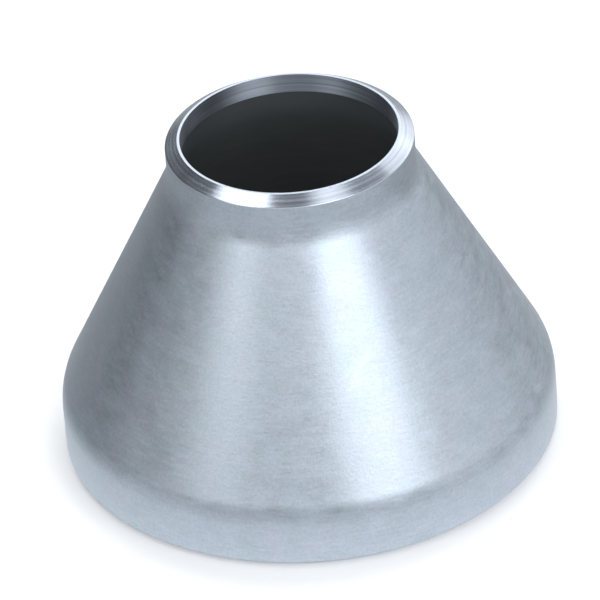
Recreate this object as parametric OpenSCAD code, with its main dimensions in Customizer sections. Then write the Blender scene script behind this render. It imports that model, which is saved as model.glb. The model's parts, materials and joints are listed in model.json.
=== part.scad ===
// Concentric reducer for butt welding, pressed in one piece from seamless pipe.
// It stands on its large end. The origin is the centre of the large end's face,
// and +Z runs along the pipe's axis towards the small end. Millimetres.

/* [Overall] */
// Length from end face to end face
overall_length = 152; // [140:1:180]
// Wall thickness of the pipe that the fitting is pressed from
wall = 6; // [4:0.5:8]

/* [Large end] */
// Outside diameter of the large end
large_od = 219; // [205:1:240]
// Straight length of the large end, bevel included
large_straight = 21; // [14:1:28]
// Outside radius of the shoulder, from the large end into the cone
shoulder_radius = 22; // [12:1:30]

/* [Small end] */
// Outside diameter of the small end
small_od = 108; // [89:1:127]
// Straight length of the small end, bevel included
small_straight = 11; // [11:1:20]
// Outside radius of the neck, from the cone into the small end
neck_radius = 25; // [16:1:35]
// Wall thickness that pressing adds at the small end
small_end_thickening = 0.7; // [0:0.1:1]
// Length of the band bored true inside the small end
bored_band = 9; // [6:0.5:9.5]

/* [Weld preparation] */
// Angle between the bevel and the end face
bevel_angle = 32.5; // [25:0.5:40]
// Radial width of the flat root face left at each end
root_face = 1.2; // [0.8:0.1:2.4]

/* [Hidden] */
$fn = 240;

// Straight steps that make up each arc of the half section
arc_steps = 12;

large_r = large_od / 2;
small_r = small_od / 2;
large_bore_r = large_r - wall;
small_bore_r = small_r - wall - small_end_thickening;

large_root_r = large_bore_r + root_face;
small_root_r = small_bore_r + root_face;
large_bevel_h = (large_r - large_root_r) * tan(bevel_angle);
small_bevel_h = (small_r - small_root_r) * tan(bevel_angle);

// Centres of the shoulder and neck arcs in the half section, as [radius, height].
// The inner and outer surfaces share them, so the wall keeps its thickness there.
shoulder_c = [large_r - shoulder_radius, large_straight];
neck_c = [small_r + neck_radius, overall_length - small_straight];
inner_shoulder_radius = shoulder_radius - wall;
inner_neck_radius = neck_radius + wall;

// The cone is the line that touches both arcs and crosses between their centres.
// cone_tilt is how far its outward normal leans up from level.
between = neck_c - shoulder_c;
cone_tilt = atan2(between.y, between.x) - acos((shoulder_radius + neck_radius) / norm(between));

// Lower edge of the bored band. From here the inner wall runs straight down and
// outward until it touches the inner neck arc, where its normal leans by run_out_tilt.
band_edge = [small_bore_r, overall_length - bored_band];
to_band = band_edge - neck_c;
run_out_tilt = atan2(to_band.y, to_band.x) + acos(inner_neck_radius / norm(to_band)) - 180;

// Points along an arc of the half section, from one angle to the other
function arc(centre, radius, from, to) = [
    for (i = [0:arc_steps])
        let (a = from + (to - from) * i / arc_steps)
            centre + radius * [cos(a), sin(a)]
];

// Outer surface, from the large end's root face up to the small end's
outer_outline = concat(
    [[large_root_r, 0], [large_r, large_bevel_h]],
    arc(shoulder_c, shoulder_radius, 0, cone_tilt),
    arc(neck_c, neck_radius, 180 + cone_tilt, 180),
    [[small_r, overall_length - small_bevel_h], [small_root_r, overall_length]]
);

// Inner surface, from the small end's root face back down to the large end's
inner_outline = concat(
    [[small_bore_r, overall_length], band_edge],
    arc(neck_c, inner_neck_radius, 180 + run_out_tilt, 180 + cone_tilt),
    arc(shoulder_c, inner_shoulder_radius, cone_tilt, 0),
    [[large_bore_r, 0]]
);

// The whole fitting: one wall of steel turned about the pipe's axis
module reducer_body() {
    color([0.74, 0.77, 0.79])
        rotate_extrude()
            polygon(concat(outer_outline, inner_outline));
}

reducer_body();
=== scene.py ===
"""Concentric reducer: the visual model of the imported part, on a pale floor in a soft studio.

Lengths are in metres, in the CAD model's frame. The large end stands on the floor, and
+Z runs along the pipe's axis to the small end.
"""

import json
import math
from collections import namedtuple

import bpy
from mathutils import Matrix, Vector, noise


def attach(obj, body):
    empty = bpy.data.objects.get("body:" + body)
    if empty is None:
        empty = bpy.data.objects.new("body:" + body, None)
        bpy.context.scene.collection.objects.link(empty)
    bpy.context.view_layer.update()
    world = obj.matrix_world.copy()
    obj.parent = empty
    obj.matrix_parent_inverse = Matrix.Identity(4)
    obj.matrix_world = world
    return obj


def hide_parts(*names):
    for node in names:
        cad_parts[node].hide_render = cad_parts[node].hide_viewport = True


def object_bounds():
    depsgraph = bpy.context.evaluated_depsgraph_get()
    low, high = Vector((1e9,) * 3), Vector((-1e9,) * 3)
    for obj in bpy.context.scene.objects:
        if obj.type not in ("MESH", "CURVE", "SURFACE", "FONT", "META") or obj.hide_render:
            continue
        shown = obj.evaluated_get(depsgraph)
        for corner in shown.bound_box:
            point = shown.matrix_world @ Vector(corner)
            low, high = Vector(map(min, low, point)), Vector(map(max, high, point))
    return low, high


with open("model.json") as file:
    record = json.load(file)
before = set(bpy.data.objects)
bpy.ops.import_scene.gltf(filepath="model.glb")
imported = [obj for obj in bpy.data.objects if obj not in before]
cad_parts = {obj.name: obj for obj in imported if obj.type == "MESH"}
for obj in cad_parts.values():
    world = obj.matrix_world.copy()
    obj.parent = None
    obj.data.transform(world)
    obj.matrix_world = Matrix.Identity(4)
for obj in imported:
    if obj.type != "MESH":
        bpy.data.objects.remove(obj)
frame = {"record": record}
cad_low, cad_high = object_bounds()

# ---------------------------------------------------------------- sizes

MM = 0.001
HEIGHT = cad_high.z

mounts = {mount["name"]: mount for mount in frame["record"]["mounts"]}


def mount_radius(name):
    return mounts[name]["dims"]["r_mm"] * MM


def face_radius(name):
    """Mean radius of the root face that a flat mount lies on."""
    return Vector(mounts[name]["pos_m"]).xy.length


LARGE_R = mount_radius("large_end_od")
SMALL_R = mount_radius("small_end_od")
LARGE_BORE = mount_radius("large_end_bore")
SMALL_BORE = mount_radius("small_end_bore")
LARGE_ROOT = 2 * face_radius("large_end_face") - LARGE_BORE
SMALL_ROOT = 2 * face_radius("small_end_face") - SMALL_BORE
WALL = LARGE_R - LARGE_BORE
BAND = mounts["small_end_bore"]["dims"]["length_mm"] * MM
BEVEL_SLOPE = math.tan(math.radians(32.5))

# The cone's line would meet each straight end here if no arc rounded the corner off
SHOULDER_Z = 26.3 * MM
NECK_Z = HEIGHT - 17.0 * MM
SHOULDER_ARC = 22 * MM
NECK_ARC = 25 * MM
TILT = math.atan2(LARGE_R - SMALL_R, NECK_Z - SHOULDER_Z)

# Inside, the wall below the bored band runs out to the cone past this corner
RUN_OUT_R = SMALL_R - WALL + 1.1 * MM
RUN_OUT_Z = HEIGHT - 20.6 * MM

# Radii that the edges of the two ends are broken to
BORE_EDGE = 0.12 * MM
ROOT_EDGE = 0.15 * MM
LARGE_BEVEL_EDGE = 0.3 * MM
SMALL_BEVEL_EDGE = 0.5 * MM
BAND_EDGE = 0.3 * MM

# ---------------------------------------------------------------- half section

# A corner of the half section, the radius it is rounded to, and the finish that
# the surface has from here to the next corner
Corner = namedtuple("Corner", "radius height rounding finish")

# In the order of the piece's materials
FINISHES = ["satin", "turned", "bored", "formed"]

# Spacing of the mesh along an arc, and the fewest steps in one
ARC_STEP = 1.2 * MM
MIN_ARC_STEPS = 4
# Spacing along a straight, and beside each of its ends
LOOP_STEP = 4 * MM
LOOP_GAP = 0.12 * MM
# Steps round the axis
SEGMENTS = 320


def half_section():
    """Corners in order: up the outside, over the small end and down the inside."""
    large_bevel_top = (LARGE_R - LARGE_ROOT) * BEVEL_SLOPE
    small_bevel_foot = HEIGHT - (SMALL_R - SMALL_ROOT) * BEVEL_SLOPE
    inner_shoulder_z = SHOULDER_Z - WALL * math.tan(TILT / 2)
    return [
        Corner(LARGE_ROOT, 0, ROOT_EDGE, "turned"),
        Corner(LARGE_R, large_bevel_top, LARGE_BEVEL_EDGE, "satin"),
        Corner(LARGE_R, SHOULDER_Z, SHOULDER_ARC, "satin"),
        Corner(SMALL_R, NECK_Z, NECK_ARC, "satin"),
        Corner(SMALL_R, small_bevel_foot, SMALL_BEVEL_EDGE, "turned"),
        Corner(SMALL_ROOT, HEIGHT, ROOT_EDGE, "turned"),
        Corner(SMALL_BORE, HEIGHT, BORE_EDGE, "bored"),
        Corner(SMALL_BORE, HEIGHT - BAND, BAND_EDGE, "formed"),
        Corner(RUN_OUT_R, RUN_OUT_Z, NECK_ARC + WALL, "formed"),
        Corner(LARGE_BORE, inner_shoulder_z, SHOULDER_ARC - WALL, "formed"),
        Corner(LARGE_BORE, 0, BORE_EDGE, "turned"),
    ]


def arc_points(corner, before, after):
    """Points along the arc that rounds a corner off, from one side to the next."""
    here = Vector((corner.radius, corner.height))
    into = (here - Vector((before.radius, before.height))).normalized()
    out = (Vector((after.radius, after.height)) - here).normalized()
    turn = into.angle_signed(out)
    reach = corner.rounding * math.tan(abs(turn) / 2)
    start = here - into * reach
    steps = max(MIN_ARC_STEPS, math.ceil(corner.rounding * abs(turn) / ARC_STEP))
    side = Vector((into.y, -into.x)) * (1 if turn > 0 else -1)
    centre = start + side * corner.rounding
    spoke = start - centre
    return [centre + Matrix.Rotation(-turn * i / steps, 2) @ spoke for i in range(steps + 1)]


def straight_points(start, end):
    """Points between two arcs, with one close to each end so that shading stays flat."""
    length = (end - start).length
    if length < 3 * LOOP_GAP:
        return []
    along = (end - start) / length
    inner = length - 2 * LOOP_GAP
    count = max(1, math.ceil(inner / LOOP_STEP))
    return [start + along * (LOOP_GAP + inner * i / count) for i in range(count + 1)]


def outline():
    """The whole half section as (point, finish of the face that starts there)."""
    corners = half_section()
    arcs = []
    for i, corner in enumerate(corners):
        arcs.append(arc_points(corner, corners[i - 1], corners[(i + 1) % len(corners)]))
    points = []
    for i, corner in enumerate(corners):
        ahead = arcs[(i + 1) % len(arcs)][0]
        stretch = arcs[i] + straight_points(arcs[i][-1], ahead)
        points += [(point, corner.finish) for point in stretch]
    return points


# ---------------------------------------------------------------- the pressed wall

# The outside is true this far from each end, and then grows uneven over EASE
TRUE_LARGE_END = 6 * MM
TRUE_SMALL_END = 8 * MM
EASE = 16 * MM

RIPPLE_DEPTH = 0.16 * MM
RIPPLE_SCALE = 28
DIMPLE_DEPTH = 0.03 * MM
DIMPLE_SCALE = 95
DIMPLE_SHIFT = Vector((7, 3, 1))


def unevenness(place):
    """How far the pressed outer wall lies inside its true shape, at most 0.19 mm."""
    ease_low = min(1, max(0, (place.z - TRUE_LARGE_END) / EASE))
    ease_high = min(1, max(0, (HEIGHT - TRUE_SMALL_END - place.z) / EASE))
    ripple = 0.5 + 0.5 * noise.noise(place * RIPPLE_SCALE)
    dimple = 0.5 + 0.5 * noise.noise(place * DIMPLE_SCALE + DIMPLE_SHIFT)
    return ease_low * ease_high * (RIPPLE_DEPTH * ripple + DIMPLE_DEPTH * dimple)


def add_object(name, data):
    """A new object in the scene for a mesh, a light or a camera."""
    made = bpy.data.objects.new(name, data)
    bpy.context.scene.collection.objects.link(made)
    return made


def make_reducer():
    """Turns the half section round the axis. Each finish is the index of a material."""
    points = outline()
    rings = len(points)
    places = []
    for point, finish in points:
        for k in range(SEGMENTS):
            angle = 2 * math.pi * k / SEGMENTS
            ray = Vector((math.cos(angle), math.sin(angle), 0))
            place = ray * point.x + Vector((0, 0, point.y))
            if finish == "satin":
                place -= ray * unevenness(place)
            places.append(place)
    faces = []
    kinds = []
    for i, (_, finish) in enumerate(points):
        above = (i + 1) % rings
        for k in range(SEGMENTS):
            beside = (k + 1) % SEGMENTS
            corner_rings = (i, i, above, above)
            corner_steps = (k, beside, beside, k)
            faces.append([r * SEGMENTS + s for r, s in zip(corner_rings, corner_steps)])
            kinds.append(FINISHES.index(finish))
    mesh = bpy.data.meshes.new("pressed_reducer")
    mesh.from_pydata(places, [], faces)
    mesh.polygons.foreach_set("material_index", kinds)
    mesh.shade_smooth()
    mesh.update()
    return add_object("pressed_reducer", mesh)


# ---------------------------------------------------------------- materials


# Anisotropic rotation that spreads highlights along the axis and not round it
QUARTER_TURN = 0.25


class Nodes:
    """Short calls for building one material's node tree."""

    def __init__(self, name):
        self.material = bpy.data.materials.new(name)
        self.material.use_nodes = True
        self.tree = self.material.node_tree
        self.shader = self.tree.nodes["Principled BSDF"]
        self.place = self.add("ShaderNodeTexCoord").outputs["Object"]

    def feed(self, socket, value):
        """Links a socket to another, or sets its own value."""
        if isinstance(value, bpy.types.NodeSocket):
            self.tree.links.new(value, socket)
        else:
            socket.default_value = value

    def feed_node(self, node, inputs):
        """Feeds each named input. An underscore stands for a space."""
        for key, value in inputs.items():
            self.feed(node.inputs[key.replace("_", " ")], value)

    def feed_shader(self, **inputs):
        self.feed_node(self.shader, inputs)

    def add(self, kind, settings=None, **inputs):
        """A new node with these settings and inputs."""
        made = self.tree.nodes.new(kind)
        for key, value in (settings or {}).items():
            setattr(made, key, value)
        self.feed_node(made, inputs)
        return made

    def total(self, *values):
        """The sum of two or more values."""
        result = values[0]
        for value in values[1:]:
            made = self.add("ShaderNodeMath", {"operation": "ADD"})
            self.feed(made.inputs[0], result)
            self.feed(made.inputs[1], value)
            result = made.outputs[0]
        return result

    def noise(self, scale, detail=2, roughness=0.5, stretch=(1, 1, 1), shift=(0, 0, 0)):
        """Noise in the object's own metres. A stretch over 1 packs it closer along that axis."""
        mapped = self.add("ShaderNodeMapping", Vector=self.place, Scale=stretch, Location=shift)
        made = self.add("ShaderNodeTexNoise", Vector=mapped.outputs[0])
        made.inputs["Scale"].default_value = scale
        made.inputs["Detail"].default_value = detail
        made.inputs["Roughness"].default_value = roughness
        return made.outputs[0]

    def spread(self, value, low, high, start=0.3, end=0.7):
        """Maps start to end onto low to high. A noise mostly keeps between 0.3 and 0.7."""
        made = self.add("ShaderNodeMapRange", Value=value)
        made.inputs["From Min"].default_value = start
        made.inputs["From Max"].default_value = end
        made.inputs["To Min"].default_value = low
        made.inputs["To Max"].default_value = high
        return made.outputs[0]

    def blend(self, factor, first, second):
        """Goes from the first colour to the second as the factor goes from 0 to 1."""
        made = self.add("ShaderNodeMix", {"data_type": "RGBA"})
        self.feed(made.inputs[0], factor)
        self.feed(made.inputs[6], first)
        self.feed(made.inputs[7], second)
        return made.outputs[2]

    def bump(self, height, strength, distance, **under):
        """A bumped normal. Normal= gives another that it lies on top of."""
        made = self.add("ShaderNodeBump", Height=height, **under)
        made.inputs["Strength"].default_value = strength
        made.inputs["Distance"].default_value = distance
        return made.outputs[0]

    def round_the_axis(self, amount):
        """Grooves that run round the pipe's axis and draw highlights out along it."""
        tangent = self.add("ShaderNodeTangent", {"direction_type": "RADIAL", "axis": "Z"})
        self.feed_shader(Anisotropic=amount, Anisotropic_Rotation=QUARTER_TURN)
        self.feed_shader(Tangent=tangent.outputs[0])


def satin_steel():
    """Outside: brushed round the axis over a blasted skin, with cloudy patches from pickling."""
    n = Nodes("satin_steel")
    clouds = n.noise(16, detail=3)
    patches = n.noise(70, detail=4, stretch=(1, 1, 1.6), shift=(3, 1, 2))
    hues = n.noise(60, detail=4, roughness=0.6, shift=(1, 5, 4))
    grain = n.noise(420, detail=3, roughness=0.65, stretch=(0.32, 0.32, 1.8))
    speckle = n.noise(900, roughness=0.7)

    pale = n.blend(n.spread(clouds, 0, 1), (0.468, 0.530, 0.598, 1), (0.496, 0.550, 0.612, 1))
    tinted = n.blend(n.spread(hues, 0, 1), (0.445, 0.540, 0.585, 1), (0.495, 0.530, 0.615, 1))
    cool = n.blend(0.6, pale, tinted)
    tone = n.total(
        n.spread(patches, -0.05, 0.05),
        n.spread(grain, -0.065, 0.065),
        n.spread(speckle, -0.08, 0.08),
        1.0,
    )
    skin = n.bump(speckle, 0.5, 0.08 * MM)
    n.feed_shader(
        Base_Color=n.add("ShaderNodeHueSaturation", Value=tone, Color=cool).outputs[0],
        Roughness=n.total(n.spread(patches, 0.36, 0.44), n.spread(grain, -0.05, 0.05)),
        Metallic=1.0,
        Normal=n.bump(grain, 0.34, 0.08 * MM, Normal=skin),
    )
    n.round_the_axis(0.2)
    return n.material


def turned_steel():
    """Bevels and root faces: fresh lathe cuts, brighter than the skin."""
    n = Nodes("turned_steel")
    rings = n.noise(520, roughness=0.6, stretch=(0.01, 0.01, 3.5))
    wear = n.noise(120, detail=3)
    n.feed_shader(
        Base_Color=n.blend(n.spread(rings, 0, 1), (0.47, 0.53, 0.62, 1), (0.65, 0.70, 0.78, 1)),
        Roughness=n.total(n.spread(wear, 0.20, 0.25), n.spread(rings, -0.03, 0.03)),
        Metallic=1.0,
        Normal=n.bump(rings, 0.2, 0.04 * MM),
    )
    n.round_the_axis(0.6)
    return n.material


def bored_steel():
    """Band inside the small end: feed marks, and painted shade on its left side, toward -X."""
    n = Nodes("bored_steel")
    rings = n.noise(420, roughness=0.7, stretch=(0.02, 0.02, 3))
    shade_edge_and_roughness_noise = n.noise(45, detail=3)
    cut = n.blend(n.spread(rings, 0, 1), (0.30, 0.35, 0.42, 1), (0.58, 0.64, 0.73, 1))
    # Painted shade: the band goes near black on its left side, toward -X, with a ragged edge
    across = n.add("ShaderNodeSeparateXYZ", Vector=n.place).outputs["X"]
    ragged = n.total(across, n.spread(shade_edge_and_roughness_noise, -4 * MM, 4 * MM))
    painted_shade_fade = n.spread(ragged, 0, 1, -SMALL_BORE, -0.5 * SMALL_BORE)
    n.feed_shader(
        Base_Color=n.blend(painted_shade_fade, (0.10, 0.11, 0.12, 1), cut),
        Roughness=n.spread(shade_edge_and_roughness_noise, 0.38, 0.46),
        Metallic=1.0,
        Normal=n.bump(rings, 0.5, 0.08 * MM),
    )
    n.round_the_axis(0.9)
    return n.material


def formed_steel():
    """Inside: a dark, dull surface."""
    n = Nodes("formed_steel")
    clouds = n.noise(35, detail=4)
    streaks = n.noise(160, detail=3, stretch=(0.3, 0.3, 1.5))
    n.feed_shader(
        Base_Color=n.blend(n.spread(clouds, 0, 1), (0.064, 0.075, 0.082, 1), (0.080, 0.091, 0.098, 1)),
        Roughness=n.total(n.spread(clouds, 0.58, 0.68), n.spread(streaks, -0.04, 0.04)),
        Metallic=0.35,
        Normal=n.bump(streaks, 0.3, 0.1 * MM),
    )
    return n.material


def floor_paper():
    """Pale paper, with a weak light of its own that makes the shadow on it paler."""
    n = Nodes("floor_paper")
    fibre = n.noise(60, detail=3)
    n.feed_shader(
        Base_Color=n.blend(n.spread(fibre, 0, 1), (0.885, 0.89, 0.895, 1), (0.895, 0.90, 0.905, 1)),
        Roughness=n.spread(fibre, 0.85, 0.95),
        Emission_Color=(1, 1, 1, 1),
        Emission_Strength=0.1,
    )
    return n.material


def table_grey():
    """A light of its own: palest next to the object, paler in front and darker to the left."""
    n = Nodes("table_grey")
    across = n.add("ShaderNodeSeparateXYZ", Vector=n.place)
    away = n.add("ShaderNodeVectorMath", {"operation": "LENGTH"}, Vector=n.place).outputs["Value"]
    # Each goes from its first strength to its second between two distances in metres
    side = n.spread(across.outputs["X"], 0.44, 0.57, -0.8, 0.1)
    front = n.spread(across.outputs["Y"], 0.22, -0.09, -0.14, 0.06)
    near = n.spread(away, 0.46, 0.0, LARGE_R, LARGE_R + 0.07)
    n.feed_shader(
        Base_Color=(0, 0, 0, 1),
        Emission_Color=(0.95, 0.97, 1.0, 1),
        Emission_Strength=n.total(side, front, near),
        Specular_IOR_Level=0.0,
    )
    return n.material


# ---------------------------------------------------------------- studio

# From the middle of the object to each light
SOFTBOX_DISTANCE = 1.6

# The floor reaches far enough to fill the view. The card lies just above it.
FLOOR_REACH = 14
CARD_LIFT = 0.5 * MM
CARD_INNER = LARGE_R + 1 * MM
CARD_OUTER = 3.0
CARD_STEPS = 64

# Brightness of the studio's walls, far left and far right
STUDIO_LEFT = 0.04
STUDIO_RIGHT = 0.46

# Degrees for the angles, and millimetres for the sensor and the lens
CAMERA_ELEVATION = 34.07
CAMERA_ROLL = -4.58
CAMERA_DISTANCE = 2.5407
CAMERA_TARGET = Vector((-0.98 * MM, 0, HEIGHT * 0.4258))
SENSOR_WIDTH = 36
LENS = 347.2


def direction(azimuth, elevation):
    """Unit vector from the object. Azimuth 0 is the camera's side, and 90 is +X."""
    a = math.radians(azimuth)
    e = math.radians(elevation)
    return Vector((math.sin(a) * math.cos(e), -math.cos(a) * math.cos(e), math.sin(e)))


def softbox(name, azimuth, elevation, wide, high, radiance):
    """A soft panel, wide by high degrees across as seen from the object."""
    data = bpy.data.lights.new(name, "AREA")
    data.shape = "RECTANGLE"
    data.size = 2 * SOFTBOX_DISTANCE * math.tan(math.radians(wide / 2))
    data.size_y = 2 * SOFTBOX_DISTANCE * math.tan(math.radians(high / 2))
    data.energy = radiance * math.pi * data.size * data.size_y
    towards = direction(azimuth, elevation)
    lamp = add_object(name, data)
    lamp.location = Vector((0, 0, HEIGHT / 2)) + towards * SOFTBOX_DISTANCE
    lamp.rotation_euler = towards.to_track_quat("Z", "Y").to_euler()
    lamp.visible_camera = False


def make_studio():
    # Azimuth, elevation, width and height in degrees, and then the radiance
    softbox("key_right", 32.5, 31, 37, 40, 2.9)
    softbox("fill_left", -25, 33, 56, 40, 0.98)
    softbox("accent_left", -49, 30, 28, 40, 1.08)
    softbox("low_left", -80, 12, 44, 34, 0.38)
    softbox("side_right", 98, 15, 80, 40, 0.54)
    softbox("top_left", -86, 67, 25, 22, 2.6)
    softbox("top_right", 72, 73, 17, 15, 1.3)
    softbox("rim_right", 143, 28, 52, 44, 0.85)
    softbox("behind", 180, 34, 60, 24, 1.2)
    softbox("overhead", 180, 62, 44, 22, 4.4)


def make_world():
    """Studio walls, darker on the left than on the right."""
    world = bpy.data.worlds.new("studio_walls")
    world.use_nodes = True
    nodes = world.node_tree.nodes
    links = world.node_tree.links
    across = nodes.new("ShaderNodeSeparateXYZ")
    links.new(nodes.new("ShaderNodeTexCoord").outputs["Generated"], across.inputs[0])
    level = nodes.new("ShaderNodeMapRange")
    level.inputs["From Min"].default_value = -1.0
    level.inputs["To Min"].default_value = STUDIO_LEFT
    level.inputs["To Max"].default_value = STUDIO_RIGHT
    links.new(across.outputs["X"], level.inputs["Value"])
    background = nodes["Background"]
    background.inputs["Color"].default_value = (0.92, 0.95, 1.0, 1)
    links.new(level.outputs[0], background.inputs["Strength"])
    bpy.context.scene.world = world


def add_flat(name, corners, quads, material, height):
    """A flat sheet of the studio at this height, which isn't part of the object."""
    mesh = bpy.data.meshes.new(name)
    mesh.from_pydata(corners, [], quads)
    mesh.materials.append(material)
    sheet = add_object(name, mesh)
    sheet.location.z = height
    return sheet


def make_table_card():
    """A grey ring on the floor that only reflections see, as a darker table top would look."""
    around = [direction(360 * k / CARD_STEPS, 0) for k in range(CARD_STEPS)]
    corners = [ray * CARD_INNER for ray in around] + [ray * CARD_OUTER for ray in around]
    quads = []
    for k in range(CARD_STEPS):
        beside = (k + 1) % CARD_STEPS
        quads.append((k, beside, beside + CARD_STEPS, k + CARD_STEPS))
    card = add_flat("table_card", corners, quads, table_grey(), cad_low.z + CARD_LIFT)
    card.visible_camera = False
    card.visible_diffuse = False
    card.visible_transmission = False
    card.visible_shadow = False


def make_floor():
    r = FLOOR_REACH
    corners = [(-r, -r, 0), (r, -r, 0), (r, r, 0), (-r, r, 0)]
    add_flat("floor", corners, [(0, 1, 2, 3)], floor_paper(), cad_low.z)


def make_camera():
    """A long lens looking down, rolled so that the object leans a little to the left."""
    data = bpy.data.cameras.new("camera")
    data.sensor_width = SENSOR_WIDTH
    data.lens = LENS
    data.clip_start = 0.1
    data.clip_end = 100
    back = direction(0, CAMERA_ELEVATION)
    level = back.to_track_quat("Z", "Y").to_matrix().to_4x4()
    turned = level @ Matrix.Rotation(math.radians(CAMERA_ROLL), 4, "Z")
    camera = add_object("camera", data)
    camera.matrix_world = Matrix.Translation(CAMERA_TARGET + back * CAMERA_DISTANCE) @ turned
    bpy.context.scene.camera = camera


# ---------------------------------------------------------------- assembly

make_camera()

reducer = make_reducer()
for make in (satin_steel, turned_steel, bored_steel, formed_steel):
    reducer.data.materials.append(make())
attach(reducer, "root")
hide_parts("reducer_body")

make_floor()
make_table_card()
make_world()
make_studio()
bpy.context.scene.view_settings.view_transform = "Standard"
